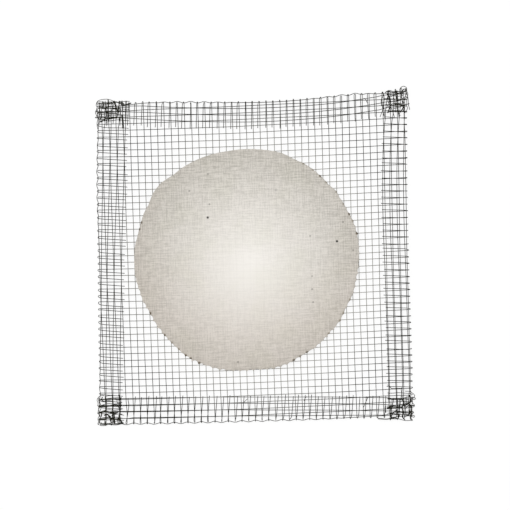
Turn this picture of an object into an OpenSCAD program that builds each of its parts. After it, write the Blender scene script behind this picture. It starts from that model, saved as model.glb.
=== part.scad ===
// Wire gauze: a square of plain-woven iron wire with a hem folded once along each edge
// and a ceramic disc cast round the wires at its middle.
// Warp wires run along Y and weft wires along X, in straight layers one wire thick.
// The layers are stacked as a hand-folded gauze stacks them: the side hems fold up over the
// cloth first, then the top and bottom hems fold down under it. So the four corners are the
// thickest, and the gauze rests on them. The origin is on that surface, below the cloth's middle.

/* [Cloth] */
// Width between the fold lines of the two side hems
cloth_w = 123.5; // [110:0.5:140]
// Length between the fold lines of the top and bottom hems
cloth_l = 127.6; // [110:0.1:145]
// Reach of each side hem, from its fold line to the cut ends of the wires
side_hem = 11.3; // [6:0.1:16]
// Reach of the top hem, from its fold line to the cut ends of the wires
top_hem = 10.5; // [6:0.1:16]
// Reach of the bottom hem, from its fold line to the cut ends of the wires
bottom_hem = 10.8; // [6:0.1:16]

/* [Wires] */
// Diameter of every wire
wire_d = 0.25; // [0.15:0.01:0.4]
// Distance from one warp wire to the next
warp_pitch = 2.73; // [2:0.01:6]
// Distance from one weft wire to the next
weft_pitch = 2.6; // [2:0.01:6]
// Distance of the first warp wire from the left fold line
warp_start = 0.1; // [0.05:0.05:1.5]
// Distance of the first weft wire from the top fold line
weft_start = 0.1; // [0.05:0.05:1.5]
// Clearance between the warp wires and the weft wires of one cloth
layer_gap = 0.06; // [0.04:0.01:0.2]
// Space that a fold leaves between the cloth and its hem
fold_gap = 0.3; // [0.05:0.05:1]

/* [Ceramic disc] */
// Clear cloth between the disc's rim and the cut ends of a side hem, with the disc in the middle
disc_margin = 5.45; // [4:0.05:15]
// Thickness of the disc, shared evenly by both faces of the cloth
disc_t = 2; // [1.4:0.1:3]
// Worn edge of the disc, taken off both of its rims
disc_edge = 0.3; // [0.1:0.05:0.5]
// Distance of the disc's centre from the middle of the cloth, towards the right
disc_x = -2.3; // [-5:0.1:5]
// Distance of the disc's centre from the middle of the cloth, towards the top
disc_y = 1; // [-5:0.1:5]
// Clearance round each wire where it runs through the disc
channel_gap = 0.015; // [0.01:0.005:0.05]

/* [Hidden] */

// Sides of the round wires and of the disc
wire_fn = 16;
disc_fn = 96;

// The layers of wire, from the surface that the gauze rests on upwards: two to each cloth
LAYERS = [
    "hem weft ends",
    "hem warp ends",
    "field warp ends",
    "hem wefts",
    "field wefts",
    "field warps",
    "hem warps",
    "field weft ends"
];

// Height of the wires' centres in the layer of that name
function layer_z(name) =
    let (below = search([name], LAYERS)[0])
    wire_d * (below + 0.5) + layer_gap * ceil(below / 2) + fold_gap * floor(below / 2);

// Distances from the first fold line at which the flat cloth has a wire, between two limits
function wires_at(start, pitch, from, to) =
    [for (n = [ceil((from - start) / pitch) : floor((to - start) / pitch)]) start + n * pitch];

// A distance beyond either fold line, mirrored back onto the folded cloth
function folded(at, size) = at < 0 ? -at : 2 * size - at;

// The wires of a hem start past the fold line and end short of the cut edge
hem_margin = wire_d;

field_warp_at = wires_at(warp_start, warp_pitch, 0, cloth_w);
left_warp_at = wires_at(warp_start, warp_pitch, hem_margin - side_hem, -hem_margin);
right_warp_at = wires_at(warp_start, warp_pitch, cloth_w + hem_margin, cloth_w + side_hem - hem_margin);
field_weft_at = wires_at(weft_start, weft_pitch, 0, cloth_l);
top_weft_at = wires_at(weft_start, weft_pitch, hem_margin - top_hem, -hem_margin);
bottom_weft_at = wires_at(weft_start, weft_pitch, cloth_l + hem_margin, cloth_l + bottom_hem - hem_margin);

field_warp_x = [for (at = field_warp_at) at - cloth_w / 2];
hem_warp_x = [for (at = concat(left_warp_at, right_warp_at)) folded(at, cloth_w) - cloth_w / 2];
field_weft_y = [for (at = field_weft_at) cloth_l / 2 - at];
hem_weft_y = [for (at = concat(top_weft_at, bottom_weft_at)) cloth_l / 2 - folded(at, cloth_l)];

disc_d = cloth_w - 2 * (side_hem + disc_margin);
disc_z = (layer_z("field wefts") + layer_z("field warps")) / 2;
channel_d = wire_d + 2 * channel_gap;

// A straight length of wire along X, from one x to another
module straight(from, to, z, d = wire_d) {
    translate([from, 0, z])
        rotate([0, 90, 0])
            cylinder(d = d, h = to - from, $fn = wire_fn);
}

// The half turn of a wire round the fold line at x = 0, open towards -X
module turn(low_z, high_z) {
    translate([0, 0, (low_z + high_z) / 2])
        rotate([90, 0, 0])
            rotate_extrude(angle = 180, start = -90, $fn = 2 * wire_fn)
                translate([(high_z - low_z) / 2, 0])
                    circle(d = wire_d, $fn = wire_fn);
}

// One wire along X: a run between two fold lines, turned back at both and cut off after the reach
// of the hem there, first of the one at +X
module folded_wire(length, hems, run_z, end_z) {
    fold_x = length / 2;
    straight(-fold_x, fold_x, run_z);
    for (side = [0, 1])
        mirror([side, 0, 0]) {
            translate([fold_x, 0, 0])
                turn(min(run_z, end_z), max(run_z, end_z));
            straight(fold_x - hems[side], fold_x, end_z);
        }
}

module warps(places, run_layer, end_layer) {
    for (x = places)
        translate([x, 0, 0])
            rotate([0, 0, 90])
                folded_wire(cloth_l, [top_hem, bottom_hem], layer_z(run_layer), layer_z(end_layer));
}

module wefts(places, run_layer, end_layer) {
    for (y = places)
        translate([0, y, 0])
            folded_wire(cloth_w, [side_hem, side_hem], layer_z(run_layer), layer_z(end_layer));
}

module field_warps() {
    color([0.20, 0.20, 0.18])
        warps(field_warp_x, "field warps", "field warp ends");
}

module hem_warps() {
    color([0.24, 0.24, 0.21])
        warps(hem_warp_x, "hem warps", "hem warp ends");
}

module field_wefts() {
    color([0.20, 0.20, 0.18])
        wefts(field_weft_y, "field wefts", "field weft ends");
}

module hem_wefts() {
    color([0.24, 0.24, 0.21])
        wefts(hem_weft_y, "hem wefts", "hem weft ends");
}

// Half of the disc's section, from its axis to its worn rim
module disc_section() {
    disc_r = disc_d / 2;
    polygon([
        [0, -disc_t / 2],
        [disc_r - disc_edge, -disc_t / 2],
        [disc_r, -disc_t / 2 + disc_edge],
        [disc_r, disc_t / 2 - disc_edge],
        [disc_r - disc_edge, disc_t / 2],
        [0, disc_t / 2]
    ]);
}

// The channels that the wires of the cloth fill, measured from the disc's own centre
module wire_channels() {
    reach = disc_d / 2 + wire_d;
    for (y = field_weft_y)
        if (abs(y - disc_y) < reach)
            translate([0, y - disc_y, 0])
                straight(-reach, reach, layer_z("field wefts") - disc_z, channel_d);
    for (x = field_warp_x)
        if (abs(x - disc_x) < reach)
            translate([x - disc_x, 0, 0])
                rotate([0, 0, 90])
                    straight(-reach, reach, layer_z("field warps") - disc_z, channel_d);
}

module ceramic_disc() {
    color([0.80, 0.77, 0.73])
        translate([disc_x, disc_y, disc_z])
            difference() {
                rotate_extrude($fn = disc_fn)
                    disc_section();
                wire_channels();
            }
}

field_warps();
hem_warps();
field_wefts();
hem_wefts();
ceramic_disc();
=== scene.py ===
"""Looks of the wire gauze: woven iron cloth with hand-folded hems, and the ceramic disc cast in it.

Each wire is drawn on the flat cloth first, then the cloth is folded: the side hems over it, the
top and bottom hems under it. Lengths are in millimetres until a mesh is made.
"""
import math

import bpy
import numpy as np
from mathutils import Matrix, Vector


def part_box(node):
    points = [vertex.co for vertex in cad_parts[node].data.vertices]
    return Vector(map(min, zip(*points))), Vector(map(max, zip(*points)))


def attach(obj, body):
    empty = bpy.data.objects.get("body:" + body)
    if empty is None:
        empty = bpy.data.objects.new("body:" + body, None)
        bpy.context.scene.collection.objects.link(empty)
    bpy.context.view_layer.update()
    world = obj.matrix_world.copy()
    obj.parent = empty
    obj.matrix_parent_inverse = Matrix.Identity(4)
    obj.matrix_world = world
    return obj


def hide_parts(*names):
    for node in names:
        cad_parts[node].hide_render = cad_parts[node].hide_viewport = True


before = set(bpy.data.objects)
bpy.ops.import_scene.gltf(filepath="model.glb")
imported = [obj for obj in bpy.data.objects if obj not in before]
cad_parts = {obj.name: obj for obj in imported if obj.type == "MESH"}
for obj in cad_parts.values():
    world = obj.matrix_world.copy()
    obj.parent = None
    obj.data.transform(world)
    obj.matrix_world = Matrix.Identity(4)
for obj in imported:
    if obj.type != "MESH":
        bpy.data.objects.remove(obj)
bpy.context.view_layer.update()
MM = 0.001


def cad_box(name):
    """Lowest and highest corner of a CAD node, in millimetres."""
    return [np.array(corner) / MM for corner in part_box(name)]


# ---- Sizes taken from the CAD parts ----
DISC_LOW, DISC_HIGH = cad_box("ceramic_disc")
DISC_CENTRE = (DISC_LOW + DISC_HIGH) / 2
DISC_R = (DISC_HIGH[0] - DISC_LOW[0]) / 2
# Heights of the single cloth's middle and of the folded cloth's top
CLOTH_Z = DISC_CENTRE[2]
CLOTH_TOP = cad_box("field_wefts")[1][2]

# ---- The cloth, flat ----
WIRE_D = 0.25
# How far a wire rises and sinks as it crosses the others
CRIMP = WIRE_D / 2
# How much more the wires along a fold's crest are crimped, and how far the crest reaches
CREST_WAVE = 1.6
CREST_REACH = 1.2
WARP_PITCH = 2.719
WEFT_PITCH = 2.632
FIELD_WARPS = range(0, 46)
FIELD_WEFTS = range(0, 50)
HEM_WIRES = {"left": 4, "right": 4, "top": 3, "bottom": 4}
HALF_W = (len(FIELD_WARPS) - 1) * WARP_PITCH / 2
HALF_L = (len(FIELD_WEFTS) - 1) * WEFT_PITCH / 2
# Lowest that a wire's middle lies, so that its flat-sided tube stays above the floor
LOWEST_WIRE = 0.13
# How far from the cloth's middle it was cut on each side, and how unevenly
CUT = {"left": 73.2, "right": 72.6, "top": 75.2, "bottom": 75.6}
CUT_SPREAD = 0.35
# How far a wire drifts to its sides in a long and a short wave, and the waves' lengths over 2 pi
LONG_DRIFT = (0.06, 17.0)
SHORT_DRIFT = (0.042, 6.3)
# How far a wire's two ends slip aside past their folds, and the distance in which they do
END_SLIP = 0.22
END_SLIP_REACH = 2.0

# ---- The folds ----
SIDE_FOLD_R = (CLOTH_TOP - WIRE_D - CLOTH_Z) / 2
END_FOLD_R = (CLOTH_Z + 2 * SIDE_FOLD_R - WIRE_D) / 2 - 2 * SIDE_FOLD_R
# Each trait is read at even steps along the fold, from its low end to its high end, and changes
# smoothly between: the fold line's distance from the cloth's middle, how far the hem slips along
# the fold, how it leans behind it (as a slope), and how much closer to the fold line it lies than
# a flat mirror image would
FOLDS = {
    "left": {"line": (63.7, 60.0), "slip": (-0.3, -0.8, -0.7),
             "lean": (-0.04, -0.04, -0.02), "tuck": (0.2, 0.6, 0.5)},
    "right": {"line": (62.2, 62.0, 61.8, 61.8, 62.9), "slip": (0.7, 0.1, -0.4),
              "lean": (0.07, 0.10, 0.01), "tuck": (-0.3, 0.1, 0.2, 0.3, 0.9)},
    "top": {"line": (66.1, 64.5, 63.6, 63.9, 65.9), "slip": (-0.6, -0.3, -0.7),
            "lean": (0.03, 0.03, -0.01, -0.07, -0.09), "tuck": (-0.4, 0.3, -0.8)},
    "bottom": {"line": (64.3, 64.3, 65.7), "slip": (-0.5, -0.1, 0.7),
               "lean": (0.12, 0.10, 0.01), "tuck": (-0.2, 1.3)},
}
# The distance past a fold in which its tuck is taken up, and the step that its slope is found over
TUCK_REACH = 3.0
SLOPE_STEP = 0.5

# Wires that folding the corners drew together, cut ends bent out of the weave and stray loops:
# how many lie side by side, and the places that they pass, from the cloth's middle
TANGLES = [
    # top left
    (3, [(-58.8, 65.3), (-58.5, 64.3), (-58.7, 62.5)]),
    (2, [(-56.6, 66.1), (-56.5, 64.3), (-56.7, 62.3), (-56.6, 57.1)]),
    (3, [(-54.3, 65.5), (-53.7, 64.2), (-53.4, 62.8), (-52.9, 61.0)]),
    (2, [(-52.6, 63.6), (-52.6, 61.8), (-53.0, 60.2), (-53.3, 58.4)]),
    (2, [(-52.1, 65.3), (-51.2, 64.7), (-50.2, 64.0)]),
    (1, [(-60.0, 63.2), (-59.1, 62.7), (-57.7, 62.6)]),
    (1, [(-57.2, 64.6), (-55.8, 64.8), (-54.4, 65.2)]),
    (2, [(-51.1, 65.5), (-50.8, 63.7), (-51.0, 61.5)]),
    (3, [(-51.2, 59.9), (-50.9, 57.7), (-50.7, 54.3)]),
    (2, [(-60.6, 64.6), (-58.2, 64.5), (-55.0, 64.5), (-53.4, 65.1), (-50.2, 63.9), (-47.4, 64.5)]),
    (2, [(-60.1, 63.0), (-58.3, 62.5), (-56.7, 62.6), (-53.1, 62.2)]),
    (2, [(-60.7, 61.0), (-58.3, 60.8), (-55.9, 60.5), (-53.1, 60.5)]),
    (3, [(-59.8, 57.1), (-58.2, 58.0), (-56.6, 58.3), (-53.0, 58.8)]),
    (1, [(-61.1, 62.6), (-61.8, 61.1), (-61.2, 59.5)]),
    (1, [(-61.1, 62.5), (-60.7, 61.0), (-61.1, 59.5), (-60.6, 58.2)]),
    (1, [(-61.3, 64.2), (-60.7, 65.5), (-58.6, 66.2), (-56.4, 66.2), (-54.2, 65.2)]),
    (1, [(-61.2, 65.0), (-60.6, 63.8), (-61.1, 62.4), (-60.8, 58.8), (-61.1, 56.4), (-60.9, 54.2)]),
    (1, [(-57.4, 58.1), (-57.2, 56.9), (-57.5, 55.5)]),
    # top right
    (1, [(53.1, 66.5), (53.6, 65.2), (52.8, 63.7), (52.7, 61.7), (53.2, 60.0), (52.7, 58.1), (52.1, 56.5)]),
    (1, [(53.8, 65.4), (53.9, 63.2), (53.7, 60.4), (53.8, 58.0), (53.9, 56.0)]),
    (2, [(55.9, 66.8), (55.2, 65.4), (56.0, 64.2), (56.3, 62.4), (56.1, 60.4), (55.2, 58.3)]),
    (3, [(58.8, 67.0), (59.1, 65.5), (59.2, 63.5), (59.2, 61.6)]),
    (1, [(59.2, 61.6), (59.3, 59.1), (59.5, 56.3)]),
    (2, [(54.3, 66.2), (55.9, 66.9), (57.8, 66.4), (59.1, 66.6), (60.9, 66.3), (62.5, 66.5)]),
    (1, [(56.4, 64.4), (57.6, 64.8), (59.4, 64.5), (61.4, 64.9)]),
    (2, [(53.8, 63.8), (55.8, 63.8), (56.6, 63.6)]),
    (3, [(57.9, 61.9), (58.9, 61.5), (60.3, 61.6)]),
    (1, [(56.7, 61.4), (57.9, 61.9), (60.3, 61.6), (62.2, 62.0)]),
    (1, [(55.3, 60.4), (56.9, 60.8), (59.5, 60.6), (61.7, 60.6)]),
    (2, [(55.0, 58.3), (56.9, 58.8), (58.5, 58.8), (60.5, 58.7), (62.9, 58.3)]),
    (2, [(60.5, 61.3), (61.5, 60.6), (61.0, 59.3), (60.2, 58.1)]),
    (1, [(62.4, 67.0), (63.3, 65.9), (63.2, 64.0), (62.7, 61.4), (63.1, 59.8), (62.4, 58.4)]),
    (1, [(60.3, 66.1), (60.2, 67.3), (60.9, 68.3), (62.0, 68.5), (62.9, 67.7), (62.2, 66.3)]),
    (1, [(60.9, 66.0), (61.7, 67.5), (62.1, 66.4)]),
    (1, [(54.7, 59.8), (55.6, 61.5), (56.5, 62.0)]),
    # bottom left
    (3, [(-63.5, -56.5), (-61.1, -56.6), (-58.3, -56.5), (-55.5, -56.6), (-54.1, -56.2)]),
    (3, [(-62.4, -59.1), (-61.0, -58.6), (-59.6, -58.8), (-57.4, -59.2), (-55.4, -59.0)]),
    (2, [(-61.5, -56.1), (-60.5, -56.7)]),
    (2, [(-63.8, -59.3), (-62.3, -59.3), (-62.3, -60.8)]),
    (2, [(-63.5, -61.8), (-61.2, -62.0), (-59.6, -61.4), (-57.4, -61.9)]),
    (2, [(-61.2, -60.1), (-59.8, -59.9), (-59.1, -60.9), (-58.5, -62.7)]),
    (2, [(-59.4, -60.3), (-58.4, -61.5), (-57.2, -62.1)]),
    (3, [(-57.3, -59.1), (-57.2, -61.3), (-57.0, -63.8)]),
    (2, [(-57.0, -62.0), (-55.6, -61.9), (-54.8, -61.9)]),
    (3, [(-55.1, -60.2), (-54.8, -61.7), (-54.3, -62.9), (-53.4, -63.8)]),
    (2, [(-62.7, -63.2), (-61.7, -63.9), (-59.3, -63.9), (-56.5, -64.1), (-54.1, -63.8)]),
    (1, [(-61.0, -52.4), (-62.6, -52.4), (-63.8, -53.8), (-63.4, -55.4), (-63.7, -56.4)]),
    (2, [(-61.7, -52.9), (-62.0, -54.1), (-61.1, -54.7), (-59.5, -54.5), (-57.3, -54.8)]),
    (1, [(-60.6, -52.7), (-59.1, -52.3), (-57.4, -52.5)]),
    (2, [(-55.2, -52.1), (-54.9, -53.2), (-54.7, -54.2), (-56.8, -54.0)]),
    (1, [(-55.9, -54.0), (-55.6, -55.6), (-54.1, -55.3)]),
    (1, [(-55.7, -56.8), (-54.9, -57.5), (-53.9, -57.8)]),
    (1, [(-63.2, -53.2), (-62.8, -55.4), (-63.3, -57.6),
         (-62.9, -59.8), (-63.6, -61.8), (-62.6, -63.6)]),
    # bottom right
    (2, [(51.5, -59.1), (51.4, -60.7), (51.6, -61.9)]),
    (3, [(52.0, -59.9), (53.8, -59.8), (56.4, -59.7), (58.2, -59.8)]),
    (2, [(56.4, -56.2), (56.2, -58.1), (56.4, -59.7)]),
    (2, [(55.9, -60.9), (55.9, -62.3), (56.8, -63.0), (56.2, -64.5)]),
    (2, [(56.4, -60.7), (54.8, -61.9), (53.9, -63.0), (53.8, -64.2), (55.6, -63.8)]),
    (2, [(48.3, -64.1), (51.5, -64.4), (53.9, -64.2), (56.5, -64.4)]),
    (1, [(56.3, -64.4), (59.1, -65.1), (62.2, -65.3)]),
    (2, [(58.1, -56.5), (58.8, -58.1), (58.0, -59.7), (58.4, -61.9), (58.1, -63.5), (59.0, -64.9)]),
    (3, [(59.5, -58.6), (60.9, -58.2), (61.7, -57.5), (61.5, -56.2), (61.1, -55.1)]),
    (1, [(61.5, -56.8), (62.3, -58.1), (63.1, -59.2), (61.7, -59.4)]),
    (2, [(59.2, -59.1), (60.7, -58.5), (61.8, -59.6),
         (61.9, -61.0), (62.1, -62.4), (61.5, -64.2), (62.1, -65.2)]),
    (1, [(59.3, -61.1), (59.7, -59.9), (60.7, -59.0)]),
    (2, [(59.8, -63.5), (60.4, -63.1), (61.3, -62.1), (62.2, -61.7)]),
    (1, [(61.2, -53.5), (62.4, -54.3), (63.3, -55.3), (62.6, -56.3), (61.6, -56.6)]),
    (1, [(52.4, -50.8), (53.3, -51.2), (54.3, -52.2), (58.0, -52.3)]),
    (1, [(58.6, -51.5), (57.8, -52.5), (58.0, -54.5), (57.8, -56.5)]),
    (2, [(52.3, -56.1), (54.5, -56.7), (56.9, -56.4), (58.7, -57.0)]),
    (1, [(59.4, -53.4), (61.8, -53.6)]),
    # bottom
    (1, [(-5.4, -56.7), (-4.6, -55.9), (-3.7, -55.0)]),
    (1, [(19.0, -56.3), (19.3, -55.3), (20.0, -54.5)]),
    (1, [(42.8, -59.5), (43.8, -57.2), (44.6, -55.3)]),
    # top
    (1, [(45.6, 64.1), (46.4, 63.6), (47.0, 62.4)]),
]
# Heights that the strokes take in turn, the step between a stroke's points, how close its wires
# lie as a share of their thickness, how far they stray aside and upwards, and how fast they rise
TANGLE_HEIGHTS = (2.7, 0.6, 2.0, 1.3)
STROKE_STEP = 0.3
STROKE_SPACING = 0.95
STROKE_ASIDE = 0.05
STROKE_RISE = 0.2
STROKE_TWIST = 0.8

# How the slack weave lies, in millimetres at the field's edges. The warps' top ends lean to the
# left, they fan out upwards, both their ends bow to the right, and their spacing grows to the right
WARPS_LEAN = -0.4
WARPS_FAN = 0.5
WARPS_BOW = 0.3
WARPS_SPREAD = 0.1
# The wefts' right ends rise, they fan out to the right, both their ends bow upwards, their spacing
# grows upwards, and all of them lie a little low
WEFTS_RISE = 1.0
WEFTS_FAN = 0.2
WEFTS_BOW = 0.65
WEFTS_SPREAD = 0.5
WEFTS_LOW = -0.1
# How far the cloth's side edges lie to the right of where its even weave would put them, and the
# share of the half width at which that starts
EDGE_PULL = {"left": -0.4, "right": 0.3}
EDGE_PULL_START = 0.8

# Where the corners begin, across and along, how wide they are, and how far past their start the
# crushing is full
CORNER_START = (49.0, 52.0)
CORNER_SIZE = 13.0
CORNER_EDGE = 5.0
# How far each corner is squeezed inwards, across and along, by the signs of its x and y, how
# sharply that grows outwards, and where along the edges it begins and is full
CORNER_SQUEEZE = {(-1, 1): (0.0, 1.8), (1, 1): (0.7, 1.3), (-1, -1): (0.0, 0.5), (1, -1): (0.7, 0.0)}
SQUEEZE_POWER = 3
SQUEEZE_START = (42.0, 45.0)
SQUEEZE_SIZE = 18.0
# How far the layers of a corner are crushed about, in the flat cloth and more for each fold, the
# share of that in height, and the most that it pushes a wire outwards
CRUSH = 0.06
CRUSH_PER_TURN = 0.15
CRUSH_UPWARDS = 0.35
OUTWARD_PUSH = 0.25
# The waves that they are crushed in, sideways and upwards: how many, and their least and most length
CRUSH_WAVES = (10, 5, 14)
CRUSH_WAVES_UP = (10, 5, 12)

# ---- Meshes ----
# Sides of a wire's tube, in the weave and in the tangles
TUBE_SIDES = 8
LOOSE_TUBE_SIDES = 6
# Rings of a wire's tube for each wire that it crosses and round each fold, the room kept free of
# other rings beside a fold, and how far inside the disc's edge a wire needs fewer rings
RINGS_PER_PITCH = 4
RINGS_PER_FOLD = 11
FOLD_ROOM = 0.15
HIDDEN_MARGIN = 2.5

# Base of the random seeds
SEED = 11


def smooth_step(x):
    """0 up to 0 and 1 from 1 on, with a soft start and end between them."""
    x = np.clip(x, 0, 1)
    return x * x * (3 - 2 * x)


def waves(seed, count, shortest, longest):
    """Random plane waves with wavelengths in that range, as rows of kx, ky and phase."""
    rng = np.random.default_rng(seed)
    number = 2 * math.pi / rng.uniform(shortest, longest, count)
    heading = rng.uniform(0, 2 * math.pi, count)
    phase = rng.uniform(0, 2 * math.pi, count)
    return np.stack([number * np.cos(heading), number * np.sin(heading), phase])


def sway(x, y, wave):
    """Sum of the waves at each point, about 1 high."""
    kx, ky, phase = wave
    total = sum(np.sin(x * a + y * b + c) for a, b, c in zip(kx, ky, phase))
    return total * math.sqrt(2 / len(kx))


# ---- Folding the cloth ----
def along_fold(side, trait, along):
    """Value of one of a fold's traits at each place along it, on a smooth curve through its readings."""
    half = HALF_L if side in ("left", "right") else HALF_W
    readings = FOLDS[side][trait]
    places = np.linspace(-1, 1, len(readings))
    curve = np.polyfit(places, readings, len(readings) - 1)
    return np.polyval(curve, along / half)


def fold_slope(side, along):
    """Slope of a fold line at each place along it."""
    ahead = along_fold(side, "line", along + SLOPE_STEP)
    return (ahead - along_fold(side, "line", along - SLOPE_STEP)) / (2 * SLOPE_STEP)


def fold(distance, along, height, side, radius):
    """Rolls the cloth over one fold, towards the side that height is measured to.

    Returns the distance from the cloth's middle, the place along the fold, the new height and the
    share of the turn that is made, from 0 before the fold to 1 past it.
    """
    start = along_fold(side, "line", along) - radius
    travelled = distance - start
    angle = np.clip(travelled / radius, 0, math.pi)
    past = np.maximum(travelled - math.pi * radius, 0)
    turned = smooth_step(angle / math.pi)
    tuck = along_fold(side, "tuck", along) * smooth_step(past / TUCK_REACH)
    bulge = (radius - height) * np.sin(angle)
    new_distance = start + np.minimum(travelled, 0) + bulge - past + tuck
    new_height = radius - (radius - height) * np.cos(angle)
    lean = 2 * fold_slope(side, along) + along_fold(side, "lean", along)
    new_along = along + past * lean + turned * along_fold(side, "slip", along)
    return new_distance, new_along, new_height, turned


def fold_both_ways(x, y, height, names, radius):
    """Folds over the first named line where x is negative, and over the second where it isn't."""
    out = [np.empty_like(x) for _ in range(4)]
    for name, side, here in zip(names, (-1, 1), (x <= 0, x > 0)):
        distance, along, new_height, turned = fold(x[here] * side, y[here], height[here], name, radius)
        for values, new_values in zip(out, (distance * side, along, new_height, turned)):
            values[here] = new_values
    return out


def slack(x, y):
    """How far the slack weave lies to the right of and above each place of a square one."""
    a = x / HALF_W
    b = y / HALF_L
    right = WARPS_LEAN * b + WARPS_FAN * a * b + WARPS_BOW * b * b + WARPS_SPREAD * a * a
    above = WEFTS_RISE * a + WEFTS_FAN * a * b + WEFTS_BOW * a * a + WEFTS_SPREAD * b * b + WEFTS_LOW
    return right, above


def edge_pull(x):
    """How far the cloth's side edges are pulled to the right."""
    past = (np.abs(x) / HALF_W - EDGE_PULL_START) / (1 - EDGE_PULL_START)
    return np.where(x < 0, EDGE_PULL["left"], EDGE_PULL["right"]) * smooth_step(past)


def lay(x, y):
    """Moves the squarely woven cloth to where its slack weave really lies."""
    right, above = slack(x, y)
    return x + right + edge_pull(x), y + above


CRUSH_X = waves(SEED + 1, *CRUSH_WAVES)
CRUSH_Y = waves(SEED + 2, *CRUSH_WAVES)
CRUSH_Z = waves(SEED + 3, *CRUSH_WAVES_UP)


def pressed(value, push):
    """Pushes coordinates inwards as far as the push says, but outwards only a little."""
    outwards = np.sign(value)
    return value + outwards * np.minimum(outwards * push, OUTWARD_PUSH)


def beyond(value, start, size):
    """0 up to a start on either side of the middle, rising evenly to 1 a size further out."""
    return np.clip((np.abs(value) - start) / size, 0, 1)


def squeezed(x, y):
    """Squeezes the corners inwards, most at their outer edges."""
    across = (beyond(x, CORNER_START[0], CORNER_SIZE) ** SQUEEZE_POWER
              * beyond(y, SQUEEZE_START[1], SQUEEZE_SIZE))
    upwards = (beyond(y, CORNER_START[1], CORNER_SIZE) ** SQUEEZE_POWER
               * beyond(x, SQUEEZE_START[0], SQUEEZE_SIZE))
    new_x, new_y = x, y
    for (side_x, side_y), (squeeze_x, squeeze_y) in CORNER_SQUEEZE.items():
        here = (x * side_x > 0) & (y * side_y > 0)
        new_x = new_x - here * side_x * squeeze_x * across
        new_y = new_y - here * side_y * squeeze_y * upwards
    return new_x, new_y


def place(x, y, lift):
    """Takes points of the flat cloth, with their height above it, to the folded gauze."""
    flat_x, flat_y = x, y
    x, y, height, side_turn = fold_both_ways(x, y, lift, ("left", "right"), SIDE_FOLD_R)
    y, x, depth, end_turn = fold_both_ways(y, x, -height, ("bottom", "top"), END_FOLD_R)
    # The corners, where both hems meet, are crushed together
    near_side, near_end = [smooth_step((np.abs(value) - start) / CORNER_EDGE)
                           for value, start in zip((x, y), CORNER_START)]
    crush = near_side * near_end * (CRUSH + CRUSH_PER_TURN * (side_turn + end_turn))
    x = pressed(x, crush * sway(flat_x, flat_y, CRUSH_X))
    y = pressed(y, crush * sway(flat_x, flat_y, CRUSH_Y))
    x, y = squeezed(x, y)
    z = CLOTH_Z - depth + CRUSH_UPWARDS * crush * sway(flat_x, flat_y, CRUSH_Z)
    x, y = lay(x, y)
    return np.stack([x, y, np.maximum(z, LOWEST_WIRE)], axis=-1)


# ---- Wires ----
# How the two kinds of wire differ: their own spacing and the place of the field's last one, the
# same of the wires that they cross, the folds at their ends and those beside them, the radius that
# they turn with, the axes along and across them, and the side on which they pass the first crossing
WARP = {"pitch": WARP_PITCH, "half": HALF_W, "crossed_pitch": WEFT_PITCH, "crossed_half": HALF_L,
        "ends": ("bottom", "top"), "sides": ("left", "right"), "fold_r": END_FOLD_R,
        "along": 1, "across": 0, "first": 1}
WEFT = {"pitch": WEFT_PITCH, "half": HALF_L, "crossed_pitch": WARP_PITCH, "crossed_half": HALF_W,
        "ends": ("left", "right"), "sides": ("bottom", "top"), "fold_r": SIDE_FOLD_R,
        "along": 0, "across": 1, "first": -1}


def mesh_object(name, points, faces):
    """A smooth-shaded mesh object from points in millimetres."""
    mesh = bpy.data.meshes.new(name)
    mesh.from_pydata((np.asarray(points) * MM).tolist(), [], faces)
    mesh.polygons.foreach_set("use_smooth", [True] * len(mesh.polygons))
    mesh.update()
    piece = bpy.data.objects.new(name, mesh)
    bpy.context.scene.collection.objects.link(piece)
    return piece


def tube(path, across, radius, sides):
    """Points and faces of a round wire along a path. across is a direction that it never takes."""
    ahead = np.gradient(path, axis=0)
    ahead /= np.linalg.norm(ahead, axis=1, keepdims=True)
    first = across - (ahead @ across)[:, None] * ahead
    first /= np.linalg.norm(first, axis=1, keepdims=True)
    second = np.cross(ahead, first)
    turn = np.arange(sides) * 2 * math.pi / sides
    # The corners stand out a little, so that the flat-sided tube is as wide on average as the wire
    corner_radius = radius * math.pi / (sides * math.sin(math.pi / sides))
    ring = (np.cos(turn)[None, :, None] * first[:, None, :]
            + np.sin(turn)[None, :, None] * second[:, None, :])
    points = (path[:, None, :] + corner_radius * ring).reshape(-1, 3)
    count = len(path)
    faces = [list(range(sides))[::-1], list(range((count - 1) * sides, count * sides))]
    for i in range(count - 1):
        for j in range(sides):
            near, far = i * sides, (i + 1) * sides
            k = (j + 1) % sides
            faces.append([near + j, near + k, far + k, far + j])
    return points, faces


def join(parts):
    """One list of points and one of faces from several."""
    points, faces, offset = [], [], 0
    for part_points, part_faces in parts:
        points.append(part_points)
        faces += [[index + offset for index in face] for face in part_faces]
        offset += len(part_points)
    return np.concatenate(points), faces


def hidden_span(beside, way):
    """The stretch of a wire that lies well inside the ceramic, or nothing."""
    reach = DISC_R - HIDDEN_MARGIN
    offset = beside - DISC_CENTRE[way["across"]]
    if abs(offset) >= reach:
        return None
    half = math.sqrt(reach * reach - offset * offset)
    centre = DISC_CENTRE[way["along"]]
    return centre - half, centre + half


def stations(start, end, pitch, hidden):
    """Places of the rings along a wire: some to each pitch, and one to a pitch where it is hidden."""
    step = pitch / RINGS_PER_PITCH
    index = np.arange(math.ceil(start / step), math.floor(end / step) + 1)
    grid = index * step
    # None lies so close to an end that the last stretch of the tube would be very short
    room = step / 3
    keep = (grid > start + room) & (grid < end - room)
    if hidden:
        low, high = hidden
        keep &= (grid < low) | (grid > high) | (index % RINGS_PER_PITCH == 0)
    return np.concatenate([[start], grid[keep], [end]])


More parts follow.
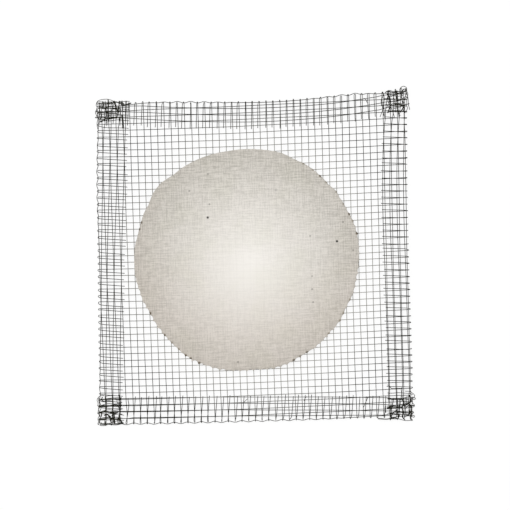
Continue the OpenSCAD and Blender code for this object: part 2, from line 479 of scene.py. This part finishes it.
def with_folds(u, lines, radius):
    """Adds closer rings where the wire turns over the folds at its two ends."""
    for line, side in zip(lines, (-1, 1)):
        low = line - radius
        high = low + math.pi * radius
        away = u * side
        kept = u[(away < low - FOLD_ROOM) | (away > high + FOLD_ROOM)]
        u = np.concatenate([kept, side * np.linspace(low, high, RINGS_PER_FOLD)])
    return np.sort(u)


def crimped(u, index, beside, way):
    """Heights of a wire above the cloth's middle, over one crossing wire and under the next."""
    crossing = (u + way["crossed_half"]) / way["crossed_pitch"]
    lift = CRIMP * np.cos(math.pi * (crossing + index)) * way["first"]
    crest = way["sides"][0] if beside < 0 else way["sides"][1]
    within = np.clip(u, -way["crossed_half"], way["crossed_half"])
    gap = abs(beside) - along_fold(crest, "line", within)
    return lift * (1 + CREST_WAVE * np.exp(-(gap / CREST_REACH) ** 2))


def drifted(u, lines, rng):
    """How far a wire strays to its side along its length, and past the folds at its two ends."""
    long_phase, short_phase, low_slip, high_slip = rng.normal(0, 1, 4)
    drift = (LONG_DRIFT[0] * np.sin(u / LONG_DRIFT[1] + long_phase)
             + SHORT_DRIFT[0] * np.sin(u / SHORT_DRIFT[1] + short_phase))
    low = smooth_step((-u - lines[0]) / END_SLIP_REACH) * low_slip
    high = smooth_step((u - lines[1]) / END_SLIP_REACH) * high_slip
    return drift + END_SLIP * (low + high)


def wire(index, way, rng):
    """Points and faces of one wire, from its number in the cloth and how its kind runs."""
    beside = index * way["pitch"] - way["half"]
    low_end, high_end = [CUT[name] for name in way["ends"]] + rng.uniform(-CUT_SPREAD, CUT_SPREAD, 2)
    lines = [along_fold(name, "line", beside) for name in way["ends"]]
    u = stations(-low_end, high_end, way["crossed_pitch"], hidden_span(beside, way))
    u = with_folds(u, lines, way["fold_r"])
    v = beside + drifted(u, lines, rng)
    x, y = (v, u) if way is WARP else (u, v)
    path = place(x, y, crimped(u, index, beside, way))
    return tube(path, np.eye(3)[way["across"]], WIRE_D / 2, TUBE_SIDES)


def wires(name, indices, way, seed):
    """One object of all the numbered wires of a kind."""
    rng = np.random.default_rng(seed)
    return mesh_object(name, *join([wire(index, way, rng) for index in indices]))


def hem_indices(field, low_name, high_name):
    """Numbers of the wires past the field's first and last, which lie in the two hems."""
    first, last = field[0], field[-1] + 1
    return [*range(first - HEM_WIRES[low_name], first), *range(last, last + HEM_WIRES[high_name])]


def curve_through(places):
    """Points along a smooth curve through all the places (Catmull-Rom)."""
    places = np.asarray(places, dtype=float)
    ends = [2 * places[0] - places[1], *places, 2 * places[-1] - places[-2]]
    points = []
    for before, start, stop, after in zip(ends, ends[1:], ends[2:], ends[3:]):
        count = max(2, math.ceil(np.linalg.norm(stop - start) / STROKE_STEP))
        t = (np.arange(count) / count)[:, None]
        points.append(0.5 * (2 * start + (stop - before) * t
                             + (2 * before - 5 * start + 4 * stop - after) * t * t
                             + (3 * start - before - 3 * stop + after) * t ** 3))
    return np.concatenate([*points, places[-1:]])


def bundle(count, places, height, rng):
    """Tubes of some wires that run side by side, loosely twisted, through the places."""
    line = curve_through(places)
    ahead = np.gradient(line, axis=0)
    ahead /= np.linalg.norm(ahead, axis=1, keepdims=True)
    aside = np.stack([-ahead[:, 1], ahead[:, 0]], axis=-1)
    travelled = np.arange(len(line)) * STROKE_STEP
    upwards = np.array([0, 0, 1.0])
    tubes = []
    for number in range(count):
        phase = rng.uniform(0, 2 * math.pi)
        offset = ((number - (count - 1) / 2) * STROKE_SPACING * WIRE_D
                  + STROKE_ASIDE * np.sin(travelled + phase))
        rise = STROKE_RISE * np.sin(STROKE_TWIST * travelled + phase)
        path = np.concatenate([line + aside * offset[:, None], (height + rise)[:, None]], axis=1)
        tubes.append(tube(path, upwards, WIRE_D / 2, LOOSE_TUBE_SIDES))
    return tubes


def tangles():
    """The bundles, bent ends and loops, spread through the height of the stacked cloth."""
    rng = np.random.default_rng(SEED + 30)
    parts = []
    for number, (count, places) in enumerate(TANGLES):
        height = TANGLE_HEIGHTS[number % len(TANGLE_HEIGHTS)]
        parts += bundle(count, places, height, rng)
    return mesh_object("corner_tangles", *join(parts))


# ---- Ceramic disc ----
# The disc's uneven outline, as its mean edge between the bites: angles in degrees and radii
RIM = [
    (-180, 45.3), (-172, 45.4), (-165, 45.0), (-159, 45.1), (-155, 44.6), (-147, 44.8),
    (-140, 45.1), (-130, 45.4), (-125, 45.9), (-117, 46.0), (-112, 45.6), (-106, 45.6),
    (-98, 44.9), (-87, 44.3), (-78, 44.9), (-71, 44.9), (-62, 44.3), (-54, 44.5), (-43, 44.2),
    (-36, 44.5), (-27, 43.9), (-20, 44.4), (-12, 44.2), (0, 44.6), (11, 45.0), (18, 44.9),
    (24, 44.4), (33, 44.3), (36, 44.7), (41, 44.0), (50, 44.3), (57, 44.4), (63, 44.0),
    (71, 44.5), (83, 44.0), (91, 43.9), (99, 43.8), (110, 44.3), (124, 44.8),
    (130, 44.8), (138, 46.1), (144, 46.0), (150, 45.1), (155, 45.3), (160, 45.0), (167, 44.9),
    (172, 45.3),
]
RIM_SEGMENTS = 720
# Steps round the rim in which the wires' crossings are looked for
CROSSING_STEPS = 7200
# How deep the edge is bitten between two wires, the share of that everywhere, the share added near
# one angle in degrees, and the power that keeps it near there
BITE = 0.9
BITE_SHARE = 0.65
BITTEN_MORE = 0.6
BITTEN_EDGE = -145
BITTEN_POWER = 6
# Angle of the smoothest part of the edge, and the power that keeps it smooth near there
SMOOTH_EDGE = 125
SMOOTH_POWER = 1.5
# How the bites differ, the share of their depth that stands out at the wires, and the power that
# gives them flat bottoms
BITE_UNEVEN = (0.4, 1.3)
BITE_RISE = 0.7
BITE_FLATNESS = 0.7
# The width of a bite of full depth, how many times it counts at most, and the power by which a
# bite's depth grows with its width
BITE_WIDTH = 2.4
BITE_WIDEST = 1.2
BITE_WIDTH_POWER = 1.5
# Rounding of the disc's edges, and the turns in degrees at which its rings lie, above and below
EDGE_R = 0.28
UPPER_TURNS = (15, 35, 55, 75, 90)
LOWER_TURNS = (0, 20, 45, 70)
# Rings of the flat faces: how many, and the shares of the radius of their inmost and outmost
UPPER_RINGS = (80, 0.012, 0.985)
LOWER_RINGS = (36, 0.03, 0.985)
# Unevenness of the faces: how deep, how many waves, and their least and most length
RELIEF = 0.03
RELIEF_WAVES = (14, 6, 30)


def mean_rim(angle):
    """Radius of the disc's edge before it is bitten between the wires."""
    angles, radii = zip(*RIM)
    return np.interp(np.degrees(angle), angles, radii, period=360)


def wire_angles():
    """Angles at which the wires of the cloth cross the disc's outline."""
    angle = np.linspace(-math.pi, math.pi, CROSSING_STEPS + 1)
    radius = mean_rim(angle)
    x = DISC_CENTRE[0] + radius * np.cos(angle)
    y = DISC_CENTRE[1] + radius * np.sin(angle)
    right, above = slack(x, y)
    found = []
    for value, pitch, half in ((x - right, WARP_PITCH, HALF_W), (y - above, WEFT_PITCH, HALF_L)):
        cell = np.floor((value + half) / pitch)
        found += list(angle[1:][cell[1:] != cell[:-1]])
    return np.array(sorted(found))


def nearness(angle, middle):
    """1 at an angle in degrees, falling to 0 on the far side of the disc."""
    return 0.5 + 0.5 * np.cos(angle - math.radians(middle))


def bite_depth(angle):
    """How deep the edge is bitten between wires: most at the lower left, least at the upper left."""
    depth = BITE * (BITE_SHARE + BITTEN_MORE * nearness(angle, BITTEN_EDGE) ** BITTEN_POWER)
    return depth * (1 - nearness(angle, SMOOTH_EDGE) ** SMOOTH_POWER)


def rim_radius(angle):
    """Radius of the disc's edge, bitten between the wires that leave it."""
    peaks = wire_angles()
    before = np.searchsorted(peaks, angle) - 1
    low = peaks[before]
    high = peaks[(before + 1) % len(peaks)]
    gap = (high - low) % (2 * math.pi)
    share = ((angle - low) % (2 * math.pi)) / np.maximum(gap, 1e-6)
    width = np.minimum(gap * DISC_R / BITE_WIDTH, BITE_WIDEST) ** BITE_WIDTH_POWER
    uneven = np.random.default_rng(SEED + 6).uniform(*BITE_UNEVEN, len(peaks))
    bite = bite_depth(angle) * uneven[before] * width
    hollow = np.sin(math.pi * np.clip(share, 0, 1)) ** BITE_FLATNESS
    return mean_rim(angle) + bite * (BITE_RISE - hollow)


def disc_profile():
    """Rings of the disc from the middle of its top, round its edge, to the middle below.

    Each is a share of the rim's radius, how far inside that it lies, and its height.
    """
    top, bottom = DISC_HIGH[2], DISC_LOW[2]
    count, first, last = UPPER_RINGS
    rings = [(share, 0.0, top) for share in np.linspace(first, last, count)]
    for turn in np.radians(UPPER_TURNS):
        rings.append((1.0, EDGE_R * (1 - math.sin(turn)), top - EDGE_R * (1 - math.cos(turn))))
    for turn in np.radians(LOWER_TURNS):
        rings.append((1.0, EDGE_R * (1 - math.cos(turn)), bottom + EDGE_R * (1 - math.sin(turn))))
    count, last, first = LOWER_RINGS
    return rings + [(share, 0.0, bottom) for share in np.linspace(first, last, count)]


def disc_faces(count):
    """Faces between the disc's rings, and from its first and last ring to a point in their middle."""
    faces = []
    for i in range(count - 1):
        for j in range(RIM_SEGMENTS):
            k = (j + 1) % RIM_SEGMENTS
            near, far = i * RIM_SEGMENTS, (i + 1) * RIM_SEGMENTS
            faces.append([near + j, far + j, far + k, near + k])
    centre_top = count * RIM_SEGMENTS
    centre_bottom = centre_top + 1
    last = (count - 1) * RIM_SEGMENTS
    for j in range(RIM_SEGMENTS):
        k = (j + 1) % RIM_SEGMENTS
        faces.append([centre_top, j, k])
        faces.append([centre_bottom, last + k, last + j])
    return faces


def disc_mesh():
    """Points and faces of the disc, with slight hollows in its top and swellings below."""
    angle = -math.pi + np.arange(RIM_SEGMENTS) * 2 * math.pi / RIM_SEGMENTS
    rim = rim_radius(angle)
    relief = waves(SEED + 5, *RELIEF_WAVES)
    rings = []
    for share, inset, z in disc_profile():
        radius = share * rim - inset
        x = DISC_CENTRE[0] + radius * np.cos(angle)
        y = DISC_CENTRE[1] + radius * np.sin(angle)
        lumps = RELIEF * sway(x, y, relief) * (1 if z > CLOTH_Z else -1)
        rings.append(np.stack([x, y, z + np.minimum(lumps, 0.0)], axis=-1))
    middles = [[DISC_CENTRE[0], DISC_CENTRE[1], z] for z in (DISC_HIGH[2], DISC_LOW[2])]
    return np.concatenate([*rings, np.array(middles)]), disc_faces(len(rings))


# ---- Colours ----
# The iron's two colours, the part of the noise between them, and the noise's scale and detail
IRON_DARK = (0.010, 0.010, 0.006)
IRON_PALE = (0.030, 0.029, 0.016)
IRON_NOISE = (0.35, 0.75)
IRON_NOISE_SCALE = 0.22
IRON_NOISE_DETAIL = 4.0
# Film of ceramic on the wires together with a painted highlight that makes the wires near the middle paler:
# its colour, its strength at the disc, its middle, the distances from there at which it ends and at which
# it is full, and how many times more height counts in them, since the hems' folded layers have no film
FILM_AND_HIGHLIGHT_COLOUR = (0.60, 0.585, 0.53)
FILM_AND_HIGHLIGHT = 0.50
FILM_AND_HIGHLIGHT_MIDDLE = (1.5, -2.0)
FILM_AND_HIGHLIGHT_FADES = (63.0, 46.0)
FILM_AND_HIGHLIGHT_STEEPNESS = 40.0
# The middle of the painted highlight on the ceramic, its colours from there outwards (palest in the
# highlight, darker towards the rim), and how far out the middle one lies
PAINTED_HIGHLIGHT_MIDDLE = (-0.5, 1.0)
CERAMIC_IN_HIGHLIGHT = (0.925, 0.893, 0.845)
CERAMIC_HALF_IN_HIGHLIGHT = (0.812, 0.776, 0.722)
CERAMIC_PAST_HIGHLIGHT = (0.636, 0.601, 0.546)
HALF_HIGHLIGHT_AT = 0.45
# Detail of the noise that colours the ceramic, and of the noise in its print
CLOUD_DETAIL = 2.0
PRINT_DETAIL = 1.0
# Greenish clouds: their shade, scale and the part of the noise in which they show
GREEN_SHADE = (0.975, 0.98, 0.96)
GREEN_SCALE = 0.09
GREEN_NOISE = (0.45, 0.7)
# The warmer parts: their shade, the middle of the coolest part, the distances from there at which
# they begin and are full, and the scale and reach of the noise that makes that uneven
WARM_SHADE = (1.0, 0.978, 0.973)
COOL_MIDDLE = (0.0, 25.0)
WARM_FADES = (42.0, 64.0)
WARM_NOISE_SCALE = 0.1
WARM_NOISE_REACH = 16.0
# The print's threads: how fine they are, how they are stretched both ways, and the weight of those
# that run along against those that run across
THREAD_SCALE = 2.5
THREADS_ACROSS = (0.1, 1, 0.3)
THREADS_ALONG = (1, 0.1, 0.3)
ALONG_WEIGHT = 0.75
# The even threads under them, and the grain: pitch, distortion and weight, and scale and weight
THREAD_PITCH = 1.0
THREAD_DISTORTION = 3.0
EVEN_WEIGHT = 0.08
GRAIN_SCALE = 2.2
GRAIN_WEIGHT = 0.6
# Painted shade in the print's hollows: the heights at which it begins and is deepest, its colour, the
# middle of the smoothest part and the distances from there at which the print begins and is full
HOLLOW_HEIGHTS = (1.50, 0.98)
HOLLOW_PAINTED_SHADE = (0.68, 0.68, 0.67)
SMOOTH_MIDDLE = (-3.0, -5.0)
ROUGH_FADES = (0.0, 47.0)
# How strongly the print's relief turns the light, and how deep it is
PRINT_BUMP = 0.5
PRINT_DEPTH = 0.06
# The wires' faint traces in the ceramic: their shade, the heights of the stripes at which they
# begin and are full, and how far they sway
TRACE_SHADE = (0.982, 0.982, 0.982)
TRACE_BAND = (0.75, 1.0)
TRACE_DISTORTION = 1.0
# Spacing of a wave texture's bands where its scale is 1, and the scale of the noise that bends them
WAVE_SPACING = 0.314
WAVE_DETAIL_SCALE = 0.4
# Dark specks in the ceramic: where they are, their radius and how dark they are
SPECKS = [
    (-17.8, 17.9, 0.6, 0.9), (33.6, 7.2, 0.6, 0.95),
    (-24.9, 28.7, 0.5, 0.4), (-17.0, 23.2, 0.5, 0.4), (-17.3, 35.3, 0.45, 0.4),
    (22.9, 9.6, 0.45, 0.4), (36.2, 14.8, 0.45, 0.5), (40.0, 3.5, 0.45, 0.4),
    (23.3, -6.5, 0.4, 0.45), (23.2, -11.7, 0.45, 0.5), (23.5, -16.9, 0.45, 0.5),
    (-7.1, -40.1, 0.5, 0.45), (9.7, 28.3, 0.7, 0.2),
]
# Dark marks on the rim where wires leave it: their angles in degrees, how far below the top face they lie,
# and the distances at which they end and are full
RIM_MARKS = (-152, -138, -133, -128, -123, -121, -117, -67, -64, -59, -44, -35, -30, -22,
              12, 18, 22, 29, 35, 42, 47, 52, 58, 158, 164)
RIM_MARK_DROP = 0.2
RIM_MARK_FADES = (0.85, 0.35)
# How dark each is, as the colour's share that is left: most marks, and the darkest ones
RIM_MARK_SHADE = (0.55, 0.52, 0.47)
DARKEST_RIM_MARK_SHADE = (0.22, 0.18, 0.13)
DARKEST_RIM_MARKS = (-152, -138, -123, -121, -117, -67, -59, 12, 22, 47, 158, 164)
# The floor: its colour, how brightly it glows to the camera, and the glow's share of what it sees
FLOOR_COLOUR = (0.92, 0.92, 0.92)
FLOOR_GLOW = 1.03
FLOOR_GLOW_SHARE = 0.85


# ---- Materials ----
def node(tree, kind, **settings):
    """A new node with its settings made."""
    made = tree.nodes.new(kind)
    for name, value in settings.items():
        setattr(made, name, value)
    return made


def new_material(name, roughness, specular):
    """A material with its node tree and its main shader, of a plain roughness and specular level."""
    material = bpy.data.materials.new(name)
    material.use_nodes = True
    tree = material.node_tree
    shader = tree.nodes["Principled BSDF"]
    shader.inputs["Roughness"].default_value = roughness
    shader.inputs["Specular IOR Level"].default_value = specular
    return material, tree, shader


def in_millimetres(tree):
    """Vector output of the place on the object, in millimetres."""
    coordinates = node(tree, "ShaderNodeTexCoord")
    scale = node(tree, "ShaderNodeVectorMath", operation="SCALE")
    scale.inputs["Scale"].default_value = 1 / MM
    tree.links.new(coordinates.outputs["Object"], scale.inputs[0])
    return scale.outputs["Vector"]


def calculate(tree, operation, first, second):
    """Output of one sum, each side of it an output or a plain number."""
    step = node(tree, "ShaderNodeMath", operation=operation)
    for socket, value in zip(step.inputs, (first, second)):
        if isinstance(value, (int, float)):
            socket.default_value = value
        else:
            tree.links.new(value, socket)
    return step.outputs["Value"]


def stretched(tree, vector, stretch):
    """The place with each of its coordinates multiplied."""
    multiply = node(tree, "ShaderNodeVectorMath", operation="MULTIPLY")
    multiply.inputs[1].default_value = stretch
    tree.links.new(vector, multiply.inputs[0])
    return multiply.outputs["Vector"]


def noise_at(tree, vector, scale, detail):
    """Noise from 0 to 1, with its features 1 / scale millimetres wide."""
    noise = node(tree, "ShaderNodeTexNoise")
    noise.inputs["Scale"].default_value = scale
    noise.inputs["Detail"].default_value = detail
    tree.links.new(vector, noise.inputs["Vector"])
    return noise.outputs["Fac"]


def stripes(tree, vector, direction, pitch, distortion):
    """Even stripes from 0 to 1, across X or Y."""
    wave = node(tree, "ShaderNodeTexWave", bands_direction=direction)
    wave.inputs["Scale"].default_value = WAVE_SPACING / pitch
    wave.inputs["Distortion"].default_value = distortion
    wave.inputs["Detail Scale"].default_value = WAVE_DETAIL_SCALE
    tree.links.new(vector, wave.inputs["Vector"])
    return wave.outputs["Fac"]


def distance_from(tree, vector, x, y, z):
    """Distance from a place, in millimetres."""
    away = node(tree, "ShaderNodeVectorMath", operation="DISTANCE")
    away.inputs[1].default_value = (x, y, z)
    tree.links.new(vector, away.inputs[0])
    return away.outputs["Value"]


def contrast(tree, value, low, high):
    """Stretches values between low and high to 0 and 1."""
    spread = node(tree, "ShaderNodeMapRange")
    spread.inputs["From Min"].default_value = low
    spread.inputs["From Max"].default_value = high
    tree.links.new(value, spread.inputs["Value"])
    return spread.outputs["Result"]


def tint(tree, colour, factor, shade):
    """Multiplies a colour by a shade, as far as the factor says."""
    mix = node(tree, "ShaderNodeMix", data_type="RGBA", blend_type="MULTIPLY")
    tree.links.new(factor, mix.inputs["Factor"])
    tree.links.new(colour, mix.inputs["A"])
    mix.inputs["B"].default_value = (*shade, 1)
    return mix.outputs["Result"]


def ramp(tree, factor, stops):
    """Colour that changes evenly through the stops, each a position from 0 to 1 and a colour."""
    made = node(tree, "ShaderNodeValToRGB")
    first, *between, last = stops
    for element, (position, colour) in zip(made.color_ramp.elements, (first, last)):
        element.position = position
        element.color = (*colour, 1)
    for position, colour in between:
        made.color_ramp.elements.new(position).color = (*colour, 1)
    tree.links.new(factor, made.inputs["Fac"])
    return made.outputs["Color"]


def iron():
    """Dark iron, paler near the disc, from a film of the ceramic dried on the wires and from a painted
    highlight.
    """
    material, tree, shader = new_material("dark_iron", roughness=0.6, specular=0.15)
    vector = in_millimetres(tree)
    clouds = noise_at(tree, vector, IRON_NOISE_SCALE, IRON_NOISE_DETAIL)
    bare = ramp(tree, clouds, [(IRON_NOISE[0], IRON_DARK), (IRON_NOISE[1], IRON_PALE)])
    # Paler near the middle: a film of ceramic and a painted highlight
    steep = stretched(tree, vector, (1, 1, FILM_AND_HIGHLIGHT_STEEPNESS))
    from_highlight_middle = distance_from(tree, steep, *FILM_AND_HIGHLIGHT_MIDDLE, CLOTH_Z * FILM_AND_HIGHLIGHT_STEEPNESS)
    film_and_highlight = calculate(tree, "MULTIPLY", contrast(tree, from_highlight_middle, *FILM_AND_HIGHLIGHT_FADES), FILM_AND_HIGHLIGHT)
    mix = node(tree, "ShaderNodeMix", data_type="RGBA")
    tree.links.new(film_and_highlight, mix.inputs["Factor"])
    tree.links.new(bare, mix.inputs["A"])
    mix.inputs["B"].default_value = (*FILM_AND_HIGHLIGHT_COLOUR, 1)
    tree.links.new(mix.outputs["Result"], shader.inputs["Base Color"])
    return material


def ceramic_tone_and_highlight(tree, vector):
    """The ceramic's colour without its print and marks: a painted highlight, palest in the middle and
    darker towards the rim, with soft patches.
    """
    # Painted highlight: pale in the middle, darker towards the rim
    from_highlight_middle = distance_from(tree, vector, *PAINTED_HIGHLIGHT_MIDDLE, CLOTH_Z)
    colour = ramp(tree, contrast(tree, from_highlight_middle, 0.0, DISC_R),
                  [(0.0, CERAMIC_IN_HIGHLIGHT), (HALF_HIGHLIGHT_AT, CERAMIC_HALF_IN_HIGHLIGHT), (1.0, CERAMIC_PAST_HIGHLIGHT)])
    green = contrast(tree, noise_at(tree, vector, GREEN_SCALE, CLOUD_DETAIL), *GREEN_NOISE)
    colour = tint(tree, colour, green, GREEN_SHADE)
    patches = noise_at(tree, vector, WARM_NOISE_SCALE, CLOUD_DETAIL)
    patches = calculate(tree, "MULTIPLY", patches, WARM_NOISE_REACH)
    from_cool = distance_from(tree, vector, *COOL_MIDDLE, CLOTH_Z)
    warm = contrast(tree, calculate(tree, "ADD", from_cool, patches), *WARM_FADES)
    return tint(tree, colour, warm, WARM_SHADE)


def linen(tree, vector):
    """Height of the print that the mould's cloth left: short threads both ways, and grain."""
    across = noise_at(tree, stretched(tree, vector, THREADS_ACROSS), THREAD_SCALE, PRINT_DETAIL)
    along = noise_at(tree, stretched(tree, vector, THREADS_ALONG), THREAD_SCALE, PRINT_DETAIL)
    threads = calculate(tree, "ADD", across, calculate(tree, "MULTIPLY", along, ALONG_WEIGHT))
    even_x = stripes(tree, vector, "X", THREAD_PITCH, THREAD_DISTORTION)
    even_y = stripes(tree, vector, "Y", THREAD_PITCH, THREAD_DISTORTION)
    even = calculate(tree, "MULTIPLY", calculate(tree, "ADD", even_x, even_y), EVEN_WEIGHT)
    grain = noise_at(tree, vector, GRAIN_SCALE, PRINT_DETAIL)
    grain = calculate(tree, "MULTIPLY", grain, GRAIN_WEIGHT)
    return calculate(tree, "ADD", calculate(tree, "ADD", threads, even), grain)


def printed_with_painted_shade(tree, vector, colour, height):
    """Paints shade into the hollows of the print, which is faint near the middle, and adds the wires'
    traces.
    """
    from_smooth = distance_from(tree, vector, *SMOOTH_MIDDLE, CLOTH_Z)
    # Painted shade in the print's hollows, darker where they are deeper
    painted_hollow_shade = calculate(tree, "MULTIPLY", contrast(tree, height, *HOLLOW_HEIGHTS),
                        contrast(tree, from_smooth, *ROUGH_FADES))
    colour = tint(tree, colour, painted_hollow_shade, HOLLOW_PAINTED_SHADE)
    for direction, pitch in (("X", WARP_PITCH), ("Y", WEFT_PITCH)):
        trace = stripes(tree, vector, direction, pitch, TRACE_DISTORTION)
        colour = tint(tree, colour, contrast(tree, trace, *TRACE_BAND), TRACE_SHADE)
    return colour


def rim_mark_places():
    """Places on the rim of the dark marks, each at the wire that is nearest to its angle."""
    peaks = wire_angles()
    angles = np.array([peaks[np.argmin(np.abs(peaks - mark))] for mark in np.radians(RIM_MARKS)])
    radii = mean_rim(angles)
    x = DISC_CENTRE[0] + radii * np.cos(angles)
    y = DISC_CENTRE[1] + radii * np.sin(angles)
    z = np.full_like(x, DISC_HIGH[2] - RIM_MARK_DROP)
    return np.stack([x, y, z], axis=-1)


def marked(tree, vector, colour):
    """Adds the dark specks and the dark marks at the rim."""
    for x, y, size, depth in SPECKS:
        away = distance_from(tree, vector, x, y, DISC_HIGH[2])
        colour = tint(tree, colour, contrast(tree, away, size, size / 2), [1 - depth] * 3)
    # Dark marks at the rim, where the wires leave it
    for mark, place_of_mark in zip(RIM_MARKS, rim_mark_places()):
        shade = DARKEST_RIM_MARK_SHADE if mark in DARKEST_RIM_MARKS else RIM_MARK_SHADE
        away = distance_from(tree, vector, *place_of_mark)
        colour = tint(tree, colour, contrast(tree, away, *RIM_MARK_FADES), shade)
    return colour


def ceramic():
    """Unglazed ceramic with a painted highlight in its middle, the print of the mould's cloth with painted
    shade in its hollows, specks and dark marks at the rim.
    """
    material, tree, shader = new_material("pressed_ceramic", roughness=0.92, specular=0.15)
    vector = in_millimetres(tree)
    height = linen(tree, vector)
    colour = printed_with_painted_shade(tree, vector, ceramic_tone_and_highlight(tree, vector), height)
    tree.links.new(marked(tree, vector, colour), shader.inputs["Base Color"])
    bump = node(tree, "ShaderNodeBump")
    bump.inputs["Strength"].default_value = PRINT_BUMP
    bump.inputs["Distance"].default_value = PRINT_DEPTH * MM
    tree.links.new(height, bump.inputs["Height"])
    tree.links.new(bump.outputs["Normal"], shader.inputs["Normal"])
    return material


def white_floor():
    """A pale floor that looks white to the camera and in reflections, and still takes shadows."""
    material, tree, shader = new_material("white_floor", roughness=1.0, specular=0.0)
    link = tree.links.new
    shader.inputs["Base Color"].default_value = (*FLOOR_COLOUR, 1)
    path = node(tree, "ShaderNodeLightPath")
    seen = calculate(tree, "MAXIMUM", path.outputs["Is Camera Ray"], path.outputs["Is Glossy Ray"])
    seen = calculate(tree, "MAXIMUM", seen, path.outputs["Is Transmission Ray"])
    glow = node(tree, "ShaderNodeEmission")
    glow.inputs["Strength"].default_value = FLOOR_GLOW
    mix = node(tree, "ShaderNodeMixShader")
    link(calculate(tree, "MULTIPLY", seen, FLOOR_GLOW_SHARE), mix.inputs["Fac"])
    link(shader.outputs["BSDF"], mix.inputs[1])
    link(glow.outputs["Emission"], mix.inputs[2])
    link(mix.outputs["Shader"], tree.nodes["Material Output"].inputs["Surface"])
    return material


# ---- The object ----
def build_gauze():
    """The four sets of wires and the disc in place of the CAD nodes, and the loose ends."""
    dark_iron = iron()
    warps = wires("woven_warps", FIELD_WARPS, WARP, SEED + 21)
    side_warps = wires("woven_hem_warps", hem_indices(FIELD_WARPS, "left", "right"), WARP, SEED + 22)
    wefts = wires("woven_wefts", FIELD_WEFTS, WEFT, SEED + 23)
    end_wefts = wires("woven_hem_wefts", hem_indices(FIELD_WEFTS, "bottom", "top"), WEFT, SEED + 24)
    stands_for = {warps: "field_warps", side_warps: "hem_warps",
                  wefts: "field_wefts", end_wefts: "hem_wefts"}
    for piece, name in stands_for.items():
        piece.data.materials.append(dark_iron)
        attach(piece, "root")
        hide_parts(name)
    loose = tangles()
    loose.data.materials.append(dark_iron)
    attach(loose, "root")
    disc = mesh_object("cast_disc", *disc_mesh())
    disc.data.materials.append(ceramic())
    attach(disc, "root")
    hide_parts("ceramic_disc")


# ---- The scene round it ----
FLOOR_HALF = 1500.0
SKY_STRENGTH = 0.63
# The lamp's size and place in metres, its power, and its tilt about X and Y in degrees
LAMP_SIZE = 0.6
LAMP_PLACE = (-0.25, 0.25, 1.0)
LAMP_POWER = 4.9
LAMP_TILT = (-14, -14)
# The camera: its height above the cloth, the width that it sees there, where it looks straight
# down on the cloth, its turn in degrees, and the width of its sensor
CAMERA_HEIGHT = 1000.0
VIEW_WIDTH = 204.0
CAMERA_AIM = (0.72, 2.48)
CAMERA_ROLL = -1.37
SENSOR_WIDTH = 36.0


def build_floor():
    """The floor that the gauze lies on."""
    half = FLOOR_HALF
    corners = [[-half, -half, 0], [half, -half, 0], [half, half, 0], [-half, half, 0]]
    floor = mesh_object("floor", corners, [[0, 1, 2, 3]])
    floor.data.materials.append(white_floor())


def build_lights():
    """An even white sky and a soft lamp from the upper left."""
    world = bpy.data.worlds.new("soft_white")
    bpy.context.scene.world = world
    world.use_nodes = True
    background = world.node_tree.nodes["Background"]
    background.inputs["Color"].default_value = (1, 1, 1, 1)
    background.inputs["Strength"].default_value = SKY_STRENGTH
    lamp = bpy.data.lights.new("soft_box", "AREA")
    lamp.shape = "DISK"
    lamp.size = LAMP_SIZE
    lamp.energy = LAMP_POWER
    holder = bpy.data.objects.new("soft_box", lamp)
    holder.location = LAMP_PLACE
    holder.rotation_euler = (math.radians(LAMP_TILT[0]), math.radians(LAMP_TILT[1]), 0)
    bpy.context.scene.collection.objects.link(holder)


def build_camera():
    """The camera high above the gauze, looking straight down."""
    data = bpy.data.cameras.new("camera")
    data.sensor_width = SENSOR_WIDTH
    data.lens = SENSOR_WIDTH * CAMERA_HEIGHT / VIEW_WIDTH
    camera = bpy.data.objects.new("camera", data)
    height = CLOTH_Z + CAMERA_HEIGHT
    camera.location = (CAMERA_AIM[0] * MM, CAMERA_AIM[1] * MM, height * MM)
    camera.rotation_euler = (0, 0, math.radians(CAMERA_ROLL))
    bpy.context.scene.collection.objects.link(camera)
    bpy.context.scene.camera = camera


build_gauze()
build_floor()
build_lights()
build_camera()
bpy.context.scene.view_settings.view_transform = "Standard"
